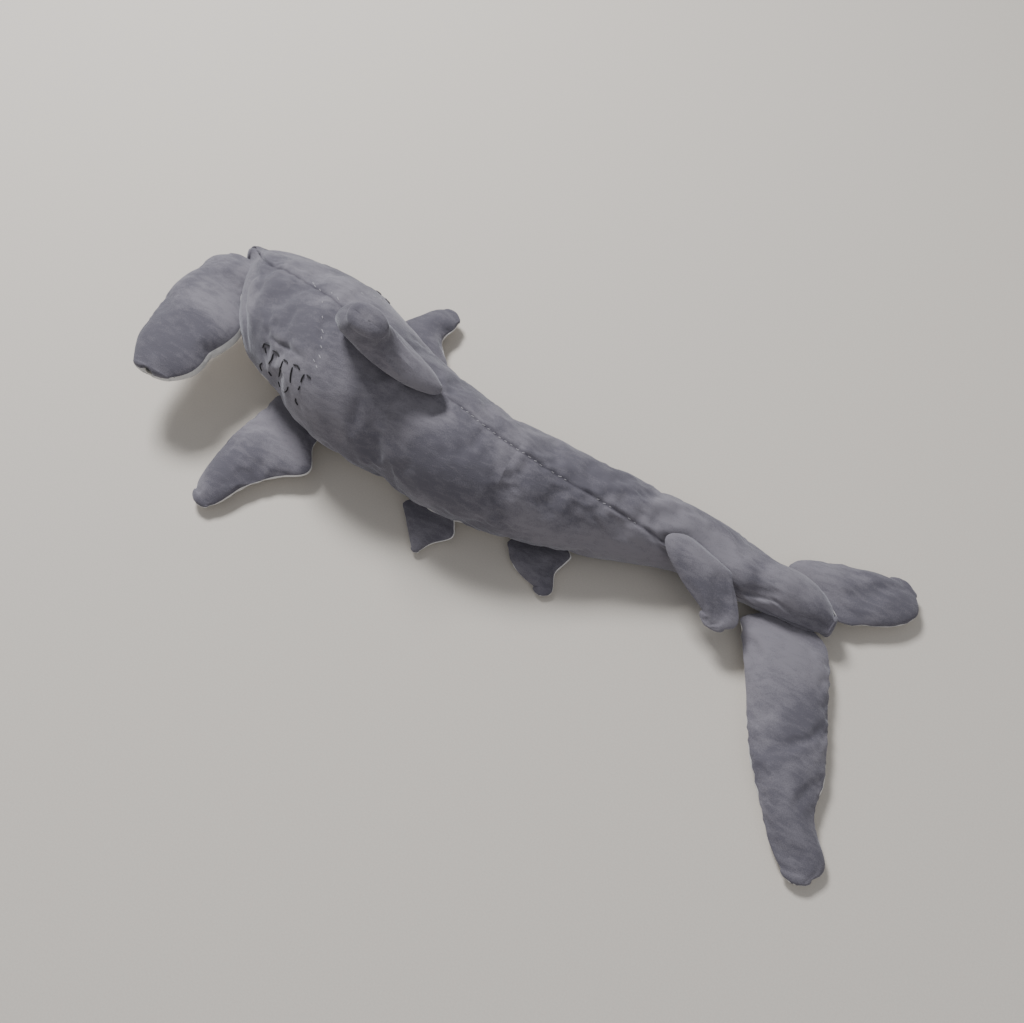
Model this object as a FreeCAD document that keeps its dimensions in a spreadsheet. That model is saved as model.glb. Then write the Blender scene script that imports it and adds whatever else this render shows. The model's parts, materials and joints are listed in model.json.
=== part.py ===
"""Limp plush hammerhead shark lying on its belly, head towards -X, left side towards -Y, +Z up.

The body is a stuffed tube in three lengths, the head and every fin are stuffed or flat pockets
of their own, and each pocket bends at the seam that joins it to its neighbour.
"""
import FreeCAD, Part
import Sketcher
import math
import os

V = FreeCAD.Vector
UP = V(0, 0, 1)
FLOOR_REACH = 1000  # size of the block that stands for the floor

# Skin, seams and trim, in millimetres and degrees.
SIZES = {
    "pile_thick": 2.4,        # plush fabric with its pile
    "seam_gap": 0.4,          # between two panels sewn edge to edge
    "fill_gap": 0.3,          # between the fabric and the filling
    "body_flatness": 0.96,    # height of the resting body over its width
    "belly_press": 0.8,       # how far the body's weight presses its underside flat
    "back_wrap": 140.0,       # how far a back panel reaches down from the back seam
    "section_step": 13.0,     # spacing of the body's sections
    "ball_clear": 0.5,        # between the filling's ball and its socket
    "neck_place": -196.0,     # where the body bends
    "waist_place": -76.0,
    "tail_place": 78.0,
    "neck_open": 9.0,         # half the crease left open in the skin at each bend
    "waist_open": 8.5,
    "tail_open": 6.5,
    "thread_radius": 0.6,
    "thread_rise": 1.0,       # from the skin to the middle of a thread
    "stitch_long": 6.0,
    "stitch_pitch": 13.0,
    "head_split": 46.0,       # height of the seam between the head's top and underside
    "eye_radius": 4.4,
    "eye_height": 3.6,
    "eye_stem_radius": 1.6,
    "eye_stem_long": 8.0,
    "washer_radius": 4.2,
    "washer_thick": 1.2,
    "washer_depth": 5.2,      # from the eye's back to the washer
    "row_shift_east": 15.1,   # brings the middle of the whole outline to the origin
    "row_shift_north": -6.5,
}

# Spine of the body: x, y, half width, height of the underside, turn of the back seam to the left.
SPINE = {
    "brow": (-284, 93, 7.5, 43, 0),
    "crown": (-259, 80.5, 21.5, 26, -4),
    "nape": (-231, 64.5, 41, 3, -8),
    "throat": (-206, 53, 50, 0, -11),
    "gills": (-168, 37, 52.5, 0, -8),
    "shoulder": (-133, 23, 52.5, 0, -10),
    "back": (-88, 15, 47, 0, -12),
    "waist": (-43, 8, 44, 0, -14),
    "loin": (13, 14, 37.5, 0, 2),
    "vent": (54, 23, 32, 0, 15),
    "stalk_front": (94, 32, 27, 0, 34),
    "stalk_middle": (134, 36, 22, 0, 60),
    "stalk_rear": (173, 33, 20, 0, 80),
    "stalk_tip": (205, 32, 16.5, 3, 88),
    "stalk_end": (230, 26, 6, 8, 90),
}

# Pockets: middle of the root, chord direction, span direction, then the stations outwards along
# the span: (span, leading edge, trailing edge, bow towards the top face, thickness).
POCKETS = {
    "hammer_left": ((-265.5, 79, 49), (1, 0, -0.03), (0, -1, 0), [
        (0, -34, -29, 0, 5),
        (21, -45, -19, 0, 15),
        (41, -48, -5, 0, 21),
        (63, -46, 15, 0, 26),
        (85, -42, 19, 0, 25),
        (105, -37, 20, 0, 20),
        (112, -33, 17, 0, 17),
        (121, -26, 8, 0, 12),
    ]),
    "hammer_right": ((-291, 103.2, 36), (0, 0.66, -0.75), (1, 0, 0), [
        (0, 0, 18, 0, 8),
        (11, 0, 33, 0, 17),
        (33, 0, 43, 0, 21),
        (59, 0, 44, 0, 22),
        (80, 1, 42, 0, 19),
        (95, 6, 37, 0, 15),
        (105, 12, 30, 0, 12),
    ]),
    "pectoral_left": ((-174.3, -8.8, 17), (0.93, -0.37, 0), (-0.37, -0.92, -0.1), [
        (0, -30, 25, 0, 5),
        (8, -29, 28, -1, 10),
        (14, -28, 40, -2, 13),
        (21, -27, 43, -2, 14),
        (29, -26, 37, -2, 15),
        (41, -24, 29, -2, 16),
        (58, -18, 23, -1, 15),
        (77, -9, 22, 0, 12),
        (89, -1, 19, 0, 6),
    ]),
    "pectoral_right": ((-140.7, 77.8, 17), (0.95, -0.33, 0), (0.32, 0.94, -0.1), [
        (0, -31, 31, 0, 5),
        (15, -33, 31, 1, 14),
        (25, -33, 28, 1, 16),
        (33, -32, 9, 1, 16),
        (42, -31, 0, 1, 14),
        (53, -29, -1, 0, 12),
        (61, -25, -5, 0, 6),
    ]),
    "pelvic_left": ((-51, -28.5, 11), (1, 0, 0), (0, -0.97, -0.25), [
        (0, -19, 24, 0, 4),
        (5, -15, 28, -1, 8),
        (9, -11, 27, -1, 9),
        (13, -8, 19, -1, 9),
        (20, -2, 13, 0, 8),
        (26, 3, 9, 0, 4),
    ]),
    "pelvic_right": ((-51, 48, 11), (1, -0.05, 0), (0.05, 0.96, -0.27), [
        (0, -20, 20, 0, 4),
        (9, -13, 16, 1, 9),
        (18, -6, 12, 0, 8),
        (26, 0, 7, 0, 4),
    ]),
    "first_dorsal": ((-103, 29, 98.5), (0.98, -0.13, -0.18), (0.12, -0.36, 0.92), [
        (0, -40, 40, -3, 11),
        (9, -46, 44, -7, 23),
        (17, -47, 30, -7, 25),
        (24, -47, 2, -5, 25),
        (32, -46, -14, -3, 25),
        (40, -43, -21, 0, 20),
    ]),
    "second_dorsal": ((135.5, 21, 45), (0.96, -0.18, -0.2), (-0.25, -0.89, -0.39), [
        (0, -16, 24, 0, 4),
        (6, -27, 30, 0, 8),
        (12, -25, 38, 0, 9),
        (19, -14, 44, 0, 9),
        (25, 3, 46, 0, 7),
        (29, 19, 37, 0, 4),
    ]),
    "anal_fin": ((30.7, -12, 7), (0.97, 0.25, 0), (0.25, -0.96, -0.1), [
        (0, -22, 24, 0, 4),
        (8, -19, 20, 0, 8),
        (14, -15, 16, 0, 9),
        (19, -10, 16, 0, 9),
        (24, -4, 18, 0, 7),
        (28, 4, 17, 0, 4),
    ]),
    "caudal_upper": ((202.5, 9, 12.5), (0.99, 0.14, -0.02), (0.14, -0.99, -0.04), [
        (0, -29, 30, 0, 6),
        (18, -22, 36, 0, 18),
        (56, -9, 43, 1, 19),
        (92, 4, 48, 2, 17),
        (118, 18, 51, 1, 14),
        (134, 27, 61, 0, 11),
        (146, 37, 56, 0, 5),
    ]),
    "caudal_lower": ((210, 51.5, 12), (0.96, -0.28, -0.02), (0.28, 0.96, -0.07), [
        (0, -24, 37, 0, 6),
        (7, -24, 45, 0, 14),
        (19, -13, 54, 0, 16),
        (30, 1, 58, 0, 15),
        (40, 18, 56, 0, 11),
        (45, 28, 50, 0, 5),
    ]),
}
STUFFED = ("hammer_left", "hammer_right", "pectoral_left", "pectoral_right", "first_dorsal",
           "caudal_upper", "caudal_lower")
FACE_NAMES = {"first_dorsal": ("right_face", "left_face"), "second_dorsal": ("right_face", "left_face")}

# Eyes: lobe they sit on, and their place along the chord of the lobe's end.
EYES = {"left": ("hammer_left", -11), "right": ("hammer_right", 21)}

# Gill lines: where each starts beside the back and ends low on the flank.
GILL_TOPS = (-149, -156, -163, -170, -177)
GILL_SLANTS = (14, 12, 9, 6, 4)
GILL_TURNS = (33, 72)

# Seam stitches: first and last place along the back in each length, then the seam that runs
# forwards down both sides of the neck, and the closing seam under the belly.
BACK_STITCHES = {"front": (-181, -150), "rear": (-50, 62), "tail": (88, 104)}
NECK_SEAM_START = -183
NECK_SEAM_REACH = 44
NECK_STITCH_SHARES = (0.1, 0.3, 0.5, 0.7, 0.9)
NECK_STITCH_LONG = 4
CLOSING_START = -50
CLOSING_STITCHES = 8

# Mouth: how far back its ends are, how far forwards it arches, and its turns about the head.
MOUTH_ENDS = -248
MOUTH_ARCH = 9
MOUTH_TURNS = (145, 215)
MOUTH_POINTS = 7

doc = FreeCAD.newDocument("plush_shark")
sheet = doc.addObject("Spreadsheet::Sheet", "dims")
pieces = {}


# ---------------------------------------------------------------- driving dimensions

def fill_sheet():
    """One row per dimension: its name in column A, its value under the same alias in column B."""
    cells = dict(SIZES)
    for name, (x, y, half_width, rise, turn) in SPINE.items():
        cells[f"{name}_east"] = x
        cells[f"{name}_north"] = y
        cells[f"{name}_half_width"] = half_width
        cells[f"{name}_rise"] = rise
        cells[f"{name}_turn"] = turn
    for name, (_, _, _, stations) in POCKETS.items():
        for number, (span, leading, trailing, _, thick) in enumerate(stations, 1):
            cells[f"{name}_span_{number}"] = span
            cells[f"{name}_chord_{number}"] = trailing - leading
            cells[f"{name}_thick_{number}"] = thick
    for row, (alias, value) in enumerate(cells.items(), 1):
        sheet.set(f"A{row}", alias)
        sheet.set(f"B{row}", str(value))
        sheet.setAlias(f"B{row}", alias)
    doc.recompute()


def size(alias):
    return float(sheet.get(alias))


def row_placement():
    return FreeCAD.Placement(V(size("row_shift_east"), size("row_shift_north"), 0), FreeCAD.Rotation())


def keep(item, label, frame=FreeCAD.Placement()):
    """Name a finished sub-part and carry it from its own frame into the row's frame."""
    item.Label = label
    item.Placement = row_placement().multiply(frame)
    pieces[label] = item
    return item


def keep_shape(shape, label):
    """A sub-part whose shape follows the bent, twisting spine, so no primitive fits it."""
    item = doc.addObject("Part::Feature", label)
    item.Shape = shape
    return keep(item, label)


# ---------------------------------------------------------------- the body's spine

def spine_curves():
    """Smooth curves through the stations: (x, y, half width) and, in straight steps, (x, rise, turn)."""
    plan = Part.BSplineCurve()
    plan.interpolate([V(size(f"{n}_east"), size(f"{n}_north"), size(f"{n}_half_width")) for n in SPINE])
    steps = [(size(f"{n}_east"), size(f"{n}_rise"), size(f"{n}_turn")) for n in SPINE]
    return plan, steps


def spine_at(x):
    """Middle of the section at x, its half width and half height, its heading and its turn."""
    low = PLAN.FirstParameter
    high = PLAN.LastParameter
    for _ in range(40):
        middle = (low + high) / 2
        if PLAN.value(middle).x < x:
            low = middle
        else:
            high = middle
    point = PLAN.value(low)
    slope = PLAN.tangent(low)[0]
    heading = V(slope.x, slope.y, 0).normalize()
    rise, turn = STEPS[0][1:]
    for before, after in zip(STEPS, STEPS[1:]):
        if before[0] <= x <= after[0]:
            share = (x - before[0]) / (after[0] - before[0])
            rise = before[1] + share * (after[1] - before[1])
            turn = before[2] + share * (after[2] - before[2])
    half_height = point.z * size("body_flatness")
    lift = rise + half_height - size("belly_press")
    return V(point.x, point.y, lift), point.z, half_height, heading, turn


def skin_point(x, angle, outside):
    """Point off the skin of the section at x, at an angle from straight up towards the left."""
    centre, half_width, half_height, heading, _ = spine_at(x)
    left = heading.cross(UP)
    across = (half_width + outside) * math.sin(math.radians(angle))
    above = (half_height + outside) * math.cos(math.radians(angle))
    return centre + left * across + UP * above


def section(x, depth):
    """Ellipse of the body at x, that far under the skin."""
    centre, half_width, half_height, heading, _ = spine_at(x)
    side = centre + heading.cross(UP) * (half_width - depth)
    return Part.Ellipse(side, centre + UP * (half_height - depth), centre)


def strip(x, start, end):
    """Closed outline across the fabric at x, between two angles measured from the back seam."""
    turn = spine_at(x)[4]
    spans = [math.radians(90 - turn - end), math.radians(90 - turn - start)]
    outer = Part.ArcOfEllipse(section(x, 0), *spans)
    inner = Part.ArcOfEllipse(section(x, size("pile_thick")), *spans)
    edges = [outer.toShape(), Part.LineSegment(outer.EndPoint, inner.EndPoint).toShape(),
             inner.toShape(), Part.LineSegment(inner.StartPoint, outer.StartPoint).toShape()]
    return Part.Wire(Part.__sortEdges__(edges))


def places(first, last):
    """Evenly spaced places of the sections from first to last."""
    count = max(3, round((last - first) / size("section_step")))
    return [first + (last - first) * k / count for k in range(count + 1)]


def skin_panel(label, first, last, start, end):
    """One cut piece of plush, sewn edge to edge with its neighbours and flat where it lies."""
    gap = math.degrees(size("seam_gap") / 2 / spine_at((first + last) / 2)[1])
    outlines = [strip(x, start + gap, end - gap) for x in places(first, last)]
    panel = Part.makeLoft(outlines, True, False)
    below = Part.makeBox(FLOOR_REACH, FLOOR_REACH, FLOOR_REACH,
                         V(-FLOOR_REACH / 2, -FLOOR_REACH / 2, -FLOOR_REACH))
    keep_shape(panel.cut(below), label)


def tube(first, last, depth):
    return Part.makeLoft([Part.Wire(section(x, depth).toShape()) for x in places(first, last)], True, False)


def ball(x, extra):
    """The filling bulges into the length ahead of it as a ball about the bend."""
    centre, _, half_height, _, _ = spine_at(x)
    radius = half_height - size("pile_thick") - size("fill_gap") - size("ball_clear")
    return Part.makeSphere(radius + extra, centre)


def body_length(name, first_bend, last_bend, first_open, last_open):
    """Two back panels, a belly panel and the filling between two bends."""
    first = first_bend + first_open
    last = last_bend - last_open
    wrap = size("back_wrap")
    skin_panel(f"{name}_back_panel_left", first, last, 0, wrap)
    skin_panel(f"{name}_back_panel_right", first, last, -wrap, 0)
    skin_panel(f"{name}_belly_panel", first, last, wrap, 360 - wrap)
    return tube(first, last, size("pile_thick") + size("fill_gap"))


def build_body():
    neck, waist, tail = size("neck_place"), size("waist_place"), size("tail_place")
    end = size("stalk_end_east")
    clear = size("ball_clear")
    front = body_length("front", neck, waist, size("neck_open"), size("waist_open"))
    front = front.cut(ball(neck, clear)).cut(ball(waist, clear))
    keep_shape(front, "front_stuffing")
    rear = body_length("rear", waist, tail, size("waist_open"), size("tail_open"))
    keep_shape(rear.fuse(ball(waist, 0)).cut(ball(tail, clear)), "rear_stuffing")
    stalk = body_length("tail", tail, end, size("tail_open"), 0)
    keep_shape(stalk.fuse(ball(tail, 0)), "tail_stuffing")


def build_head():
    """Wedge between the two hammer lobes: a top cap, an underside and the filling."""
    tip = size("brow_east")
    back = size("neck_place") - size("neck_open")
    pile = size("pile_thick")
    outside = doc.addObject("Part::Feature", "head_outside")
    outside.Shape = tube(tip, back, 0)
    inside = doc.addObject("Part::Feature", "head_inside")
    inside.Shape = tube(tip + pile, back, pile)
    shell = doc.addObject("Part::Cut", "head_shell")
    shell.Base = outside
    shell.Tool = inside
    reach = 140  # of the boxes that halve the shell, well over its own length
    corner = V(tip - reach / 4, size("throat_north") - reach / 2, 0)
    for label, floor, height in (("head_top_panel", "dims.head_split + dims.seam_gap / 2", f"{reach}"),
                                 ("head_under_panel", "0", "dims.head_split - dims.seam_gap / 2")):
        half = doc.addObject("Part::Box", f"{label}_half")
        half.Length = half.Width = reach
        half.setExpression("Height", height)
        half.Placement.Base = corner
        half.setExpression("Placement.Base.z", floor)
        panel = doc.addObject("Part::Common", label)
        panel.Base = shell
        panel.Tool = half
        keep(panel, label)
    filling = tube(tip + pile + size("fill_gap"), back, pile + size("fill_gap"))
    behind = ball(size("neck_place"), 0).cut(outside.Shape)
    keep_shape(filling.fuse(behind), "head_stuffing")


# ---------------------------------------------------------------- pockets: hammer lobes and fins

def pocket_frame(name):
    """Placement of a pocket's own frame: chord along X, thickness along Y, span along Z."""
    origin, chord, span, _ = POCKETS[name]
    chord = V(*chord).normalize()
    thick = V(*span).cross(chord).normalize()
    return FreeCAD.Placement(V(*origin), FreeCAD.Rotation(chord, thick, chord.cross(thick), "XYZ"))


def ellipse_loft(name, label, numbers, depth):
    """Rounded pocket through its stations, that far under the fabric's outside."""
    rings = []
    for number in numbers:
        _, leading, trailing, bow, _ = POCKETS[name][3][number - 1]
        ring = doc.addObject("Part::Ellipse", f"{label}_ring_{number}")
        ring.setExpression("MajorRadius", f"dims.{name}_chord_{number} / 2 - {depth}")
        ring.setExpression("MinorRadius", f"dims.{name}_thick_{number} / 2 - {depth}")
        ring.Placement.Base = V((leading + trailing) / 2, bow, 0)
        ring.setExpression("Placement.Base.z", f"dims.{name}_span_{number}")
        rings.append(ring)
    loft = doc.addObject("Part::Loft", label)
    loft.Sections = rings
    loft.Solid = True
    return loft


def half_loft(name, label, side):
    """Everything on one side of the seam that runs round the pocket."""
    margin = 3  # so that the half space reaches past the fabric all round
    leaves = []
    for number, (_, leading, _, bow, thick) in enumerate(POCKETS[name][3], 1):
        lowest = size("seam_gap") / 2
        if side < 0:
            lowest = -lowest - thick / 2 - margin
        leaf = doc.addObject("Part::Plane", f"{label}_leaf_{number}")
        leaf.setExpression("Length", f"dims.{name}_chord_{number} + {2 * margin}")
        leaf.setExpression("Width", f"dims.{name}_thick_{number} / 2 + {margin}")
        leaf.Placement.Base = V(leading - margin, bow + lowest, 0)
        leaf.setExpression("Placement.Base.z", f"dims.{name}_span_{number}")
        leaves.append(leaf)
    loft = doc.addObject("Part::Loft", label)
    loft.Sections = leaves
    loft.Solid = True
    return loft


def cut(base, tool, label):
    result = doc.addObject("Part::Cut", label)
    result.Base = base
    result.Tool = tool
    return result


def build_pocket(name):
    """Two faces of plush sewn round the edge, with filling inside the thick ones."""
    count = len(POCKETS[name][3])
    frame = pocket_frame(name)
    shell = ellipse_loft(name, f"{name}_outside", range(1, count + 1), "0")
    if name in STUFFED:
        middle = range(2, count)
        hollow = ellipse_loft(name, f"{name}_hollow", middle, "dims.pile_thick")
        filling = ellipse_loft(name, f"{name}_stuffing", middle, "(dims.pile_thick + dims.fill_gap)")
        shell = cut(shell, hollow, f"{name}_shell")
        keep(filling, f"{name}_stuffing", frame)
    for lobe, place in EYES.values():
        if lobe == name:
            shell = cut(shell, eye_room(name, place), f"{name}_pierced")
    upper = 1 if frame.Rotation.multVec(V(0, 1, 0)).z > 0 else -1
    for face, side in zip(FACE_NAMES.get(name, ("top", "under")), (upper, -upper)):
        label = f"{name}_{face}"
        common = doc.addObject("Part::Common", label)
        common.Base = shell
        common.Tool = half_loft(name, f"{label}_half", side)
        keep(common, label, frame)


# ---------------------------------------------------------------- eyes

def cylinder(label, radius, height):
    item = doc.addObject("Part::Cylinder", label)
    item.setExpression("Radius", radius)
    item.setExpression("Height", height)
    return item


def eye_seat(name, place):
    """Frame on the flat end of a lobe, Z outwards."""
    return FreeCAD.Placement(V(place, 0, POCKETS[name][3][-1][0] + size("fill_gap")), FreeCAD.Rotation())


def eye_room(name, place):
    """Space that the eye's stem and washer take inside the lobe's end."""
    seat = eye_seat(name, place)
    stem = cylinder(f"{name}_stem_room", "dims.eye_stem_radius + dims.fill_gap", "dims.eye_stem_long + 2")
    stem.Placement = seat.multiply(FreeCAD.Placement(V(0, 0, -size("eye_stem_long") - 1), FreeCAD.Rotation()))
    disc = cylinder(f"{name}_washer_room", "dims.washer_radius + dims.fill_gap",
                    "dims.washer_thick + 2 * dims.fill_gap")
    deep = -size("washer_depth") - size("washer_thick") - size("fill_gap")
    disc.Placement = seat.multiply(FreeCAD.Placement(V(0, 0, deep), FreeCAD.Rotation()))
    room = doc.addObject("Part::Fuse", f"{name}_eye_room")
    room.Base = stem
    room.Tool = disc
    return room


def build_eye(side, name, place):
    """Domed button with a stem, turned in one piece, and the washer that locks it."""
    body = doc.addObject("PartDesign::Body", f"eye_{side}")
    sketch = body.newObject("Sketcher::SketchObject", f"eye_{side}_outline")
    upright = next(plane for plane in body.Origin.OriginFeatures if plane.Role == "XZ_Plane")
    sketch.AttachmentSupport = (upright, [""])
    sketch.MapMode = "FlatFace"
    radius, height = size("eye_radius"), size("eye_height")
    stem, long = size("eye_stem_radius"), size("eye_stem_long")
    corners = [V(0, height, 0), V(0, -long, 0), V(stem, -long, 0), V(stem, 0, 0), V(radius, 0, 0)]
    for start, end in zip(corners, corners[1:]):
        sketch.addGeometry(Part.LineSegment(start, end))
    crest = V(radius * math.cos(math.pi / 4), height * math.sin(math.pi / 4), 0)
    sketch.addGeometry(Part.Arc(corners[-1], crest, corners[0]))
    for line in range(4):
        sketch.addConstraint(Sketcher.Constraint("Coincident", line, 2, line + 1, 1))
    sketch.addConstraint(Sketcher.Constraint("Coincident", 4, 2, 0, 1))
    sketch.addConstraint(Sketcher.Constraint("PointOnObject", 0, 1, -2))
    sketch.addConstraint(Sketcher.Constraint("Vertical", 0))
    sketch.addConstraint(Sketcher.Constraint("Horizontal", 1))
    sketch.addConstraint(Sketcher.Constraint("Vertical", 2))
    sketch.addConstraint(Sketcher.Constraint("PointOnObject", 2, 2, -1))
    sketch.addConstraint(Sketcher.Constraint("Horizontal", 3))
    sketch.addConstraint(Sketcher.Constraint("PointOnObject", 4, 3, -2))
    for key, line, end, kind, value in (("eye_height", 0, 1, "DistanceY", height),
                                        ("eye_stem_radius", 2, 2, "DistanceX", stem),
                                        ("eye_radius", 3, 2, "DistanceX", radius)):
        number = sketch.addConstraint(Sketcher.Constraint(kind, -1, 1, line, end, value))
        sketch.renameConstraint(number, key)
        sketch.setExpression(f"Constraints.{key}", f"dims.{key}")
    number = sketch.addConstraint(Sketcher.Constraint("DistanceY", 2, 1, 2, 2, long))
    sketch.renameConstraint(number, "eye_stem_long")
    sketch.setExpression("Constraints.eye_stem_long", "dims.eye_stem_long")
    turned = body.newObject("PartDesign::Revolution", f"eye_{side}_turned")
    turned.Profile = sketch
    turned.ReferenceAxis = (sketch, ["V_Axis"])
    turned.Angle = 360
    seat = pocket_frame(name).multiply(eye_seat(name, place))
    keep(body, f"eye_{side}", seat)
    disc = cylinder(f"eye_{side}_disc", "dims.washer_radius", "dims.washer_thick")
    bore = cylinder(f"eye_{side}_bore", "dims.eye_stem_radius + 0.1", "dims.washer_thick")
    deep = V(0, 0, -size("washer_depth") - size("washer_thick"))
    washer = cut(disc, bore, f"eye_washer_{side}")
    keep(washer, f"eye_washer_{side}", seat.multiply(FreeCAD.Placement(deep, FreeCAD.Rotation())))


# ---------------------------------------------------------------- embroidery and stitches

def thread(points):
    """Round thread that follows points just off the skin."""
    path = Part.BSplineCurve()
    path.interpolate(points)
    ring = Part.makeCircle(size("thread_radius"), points[0], path.tangent(path.FirstParameter)[0])
    return Part.Wire(path.toShape()).makePipeShell([Part.Wire(ring)], True, True)


def stitch(start, end):
    return Part.makeCylinder(size("thread_radius"), (end - start).Length, start, end - start)


def off_skin(x, angle):
    return skin_point(x, angle, size("thread_rise"))


def build_gills():
    """Five embroidered gill lines on each flank, even about the back seam."""
    for side, sign in (("left", 1), ("right", -1)):
        lines = []
        for top, slant in zip(GILL_TOPS, GILL_SLANTS):
            points = []
            for share in (0, 0.25, 0.5, 0.75, 1):
                x = top + slant * share
                turn = GILL_TURNS[0] + (GILL_TURNS[1] - GILL_TURNS[0]) * share
                seam = spine_at(x)[4]
                points.append(off_skin(x, seam + sign * (turn - seam)))
            lines.append(thread(points))
        keep_shape(Part.makeCompound(lines), f"gill_stitches_{side}")


def build_seam_stitches():
    """Short stitches that show where the panels meet along the back, the neck and the closing gap."""
    pitch = size("stitch_pitch")
    long = size("stitch_long")
    for name, (first, last) in BACK_STITCHES.items():
        places_along = [first + pitch * k for k in range(int((last - first) / pitch) + 1)]
        back = [stitch(off_skin(x, spine_at(x)[4]), off_skin(x + long, spine_at(x + long)[4]))
                for x in places_along]
        keep_shape(Part.makeCompound(back), f"back_seam_stitches_{name}")
    neck = []
    for sign in (1, -1):
        for share in NECK_STITCH_SHARES:
            x = NECK_SEAM_START + NECK_SEAM_REACH * share
            turn = spine_at(x)[4] + sign * NECK_SEAM_REACH * share
            end = off_skin(x + NECK_STITCH_LONG, turn + sign * NECK_STITCH_LONG)
            neck.append(stitch(off_skin(x, turn), end))
    keep_shape(Part.makeCompound(neck), "neck_seam_stitches")
    closing = []
    for number in range(CLOSING_STITCHES):
        x = CLOSING_START + pitch * number
        closing.append(stitch(off_skin(x, spine_at(x)[4] + size("back_wrap")),
                              off_skin(x + long, spine_at(x + long)[4] + size("back_wrap"))))
    keep_shape(Part.makeCompound(closing), "closing_seam_stitches")


def build_mouth():
    """Embroidered mouth, an arch across the head's underside."""
    first, last = MOUTH_TURNS
    points = []
    for number in range(MOUTH_POINTS):
        share = number / (MOUTH_POINTS - 1)
        x = MOUTH_ENDS - MOUTH_ARCH * math.sin(math.pi * share)
        points.append(off_skin(x, first + (last - first) * share))
    keep_shape(thread(points), "mouth_stitches")


fill_sheet()
PLAN, STEPS = spine_curves()
build_body()
build_head()
for pocket_name in POCKETS:
    build_pocket(pocket_name)
for eye_side, (lobe_name, chord_place) in EYES.items():
    build_eye(eye_side, lobe_name, chord_place)
build_gills()
build_seam_stitches()
build_mouth()
doc.recompute()

for item in doc.Objects:
    for state in item.State:
        if state in ("Invalid", "Error"):
            raise RuntimeError(f"{item.Label} is {state}")
for label, item in pieces.items():
    if not item.Shape.Solids or not item.Shape.isValid():
        raise RuntimeError(f"{label} has no valid solid")

os.makedirs("parts", exist_ok=True)
for label, item in pieces.items():
    item.Shape.exportStep(f"parts/{label}.step")
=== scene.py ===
"""Looks of the limp plush hammerhead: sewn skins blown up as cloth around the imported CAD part.

Row frame, metres: head towards -X, left side towards -Y, up +Z. The body's skin is a grid of rings
along X with its angles counted from the back seam towards the left, in degrees. A pocket, which is
a hammer lobe or a fin, is a grid of rings along its span, from its root to its tip.
"""

import json
import math

import bpy
import numpy as np
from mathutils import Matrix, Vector, noise


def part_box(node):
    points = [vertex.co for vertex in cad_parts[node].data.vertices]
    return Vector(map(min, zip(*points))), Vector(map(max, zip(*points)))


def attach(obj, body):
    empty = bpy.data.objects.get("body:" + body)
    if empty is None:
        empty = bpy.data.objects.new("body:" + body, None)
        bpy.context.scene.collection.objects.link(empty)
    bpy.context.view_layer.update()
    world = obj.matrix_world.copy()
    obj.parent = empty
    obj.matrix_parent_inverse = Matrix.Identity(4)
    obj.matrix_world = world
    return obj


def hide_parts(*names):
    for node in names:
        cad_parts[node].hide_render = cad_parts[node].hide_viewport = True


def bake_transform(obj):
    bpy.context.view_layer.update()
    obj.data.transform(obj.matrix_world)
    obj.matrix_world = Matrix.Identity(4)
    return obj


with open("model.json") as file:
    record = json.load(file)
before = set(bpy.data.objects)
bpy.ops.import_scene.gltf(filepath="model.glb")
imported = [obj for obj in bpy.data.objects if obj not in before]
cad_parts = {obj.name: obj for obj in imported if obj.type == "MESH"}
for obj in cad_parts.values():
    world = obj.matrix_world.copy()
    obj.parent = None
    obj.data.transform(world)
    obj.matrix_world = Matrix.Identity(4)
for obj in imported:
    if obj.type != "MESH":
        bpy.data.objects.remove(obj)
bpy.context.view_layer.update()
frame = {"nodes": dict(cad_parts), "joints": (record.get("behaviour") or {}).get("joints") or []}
NODES = frame["nodes"]
JOINTS = {j["name"]: j for j in frame["joints"]}
MM = 0.001

# ---------------------------------------------------------------- driving values

RING_STEP = 5 * MM            # of the cloth grid; the final grid is twice as fine
BODY_SIDES = 72               # cloth angles round the body; the final grid has four times as many
POCKET_STEP = 4 * MM
POCKET_SIDES = 36
CLOTH_FRAMES = 20
CLOTH_PRESSURE = 4.0
CLOTH_SHRINK = 0.02           # the cut cloth is this much larger than the skin it starts from
CLOTH_STIFFNESS = {"tension": 12, "compression": 12, "shear": 4, "bending": 0.3}
CLOTH_MASS = 0.15             # kilograms a point
CLOTH_QUALITY = 6
SEAM_HOLD = 0.7               # how firmly the body's seams hold the cloth, from 0 to 1
RIM_HOLD = 0.6                # the same for the seam round a pocket
BODY_SWELL = 2.5 * MM         # how far cloth may move while it is blown up
POCKET_SWELL = 1.8 * MM
TIP_ROUND = 6 * MM            # most that a round tip reaches past the CAD pocket
FABRIC = 1.6 * MM             # thickness of a skin
EYE_PROUD = 2.4 * MM          # how far an eye stands out of the pile
EYE_SEAT = (3.6 * MM, 10 * MM)  # the pile sinks between the second and the first of these from its axis
EYE_DIMPLE = 8 * MM           # how deep the pile may sink there
FLOOR_REST = 0.6 * MM         # pile pressed flat under the belly
FLOOR_SOFT = 3 * MM           # height over which the cloth eases onto the floor
NOSE_CAP = 6 * MM             # how far the closed ends reach past the first and last section
STALK_CAP = 3 * MM
CAP_SHARES = (0.25, 0.5, 0.75, 0.93)
OPEN_GAP = 35                 # widest gap, in degrees, in the points of a closed section
SEAM_DEEP = 0.8 * MM          # groove that a seam draws into the plush
SEAM_WIDE = 1.4 * MM
# width of the painted shade that darkens the plush's colour along the body's seams
SEAM_PAINTED_SHADE = 1.0 * MM
BELLY_EDGE = 140              # degrees from the back seam to the white belly
HEAD_EDGE = 102               # the same on the head, where the white underside is wider
STALK_EDGE = 168              # the same on the tail stalk, where the belly is a narrow strip
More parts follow.
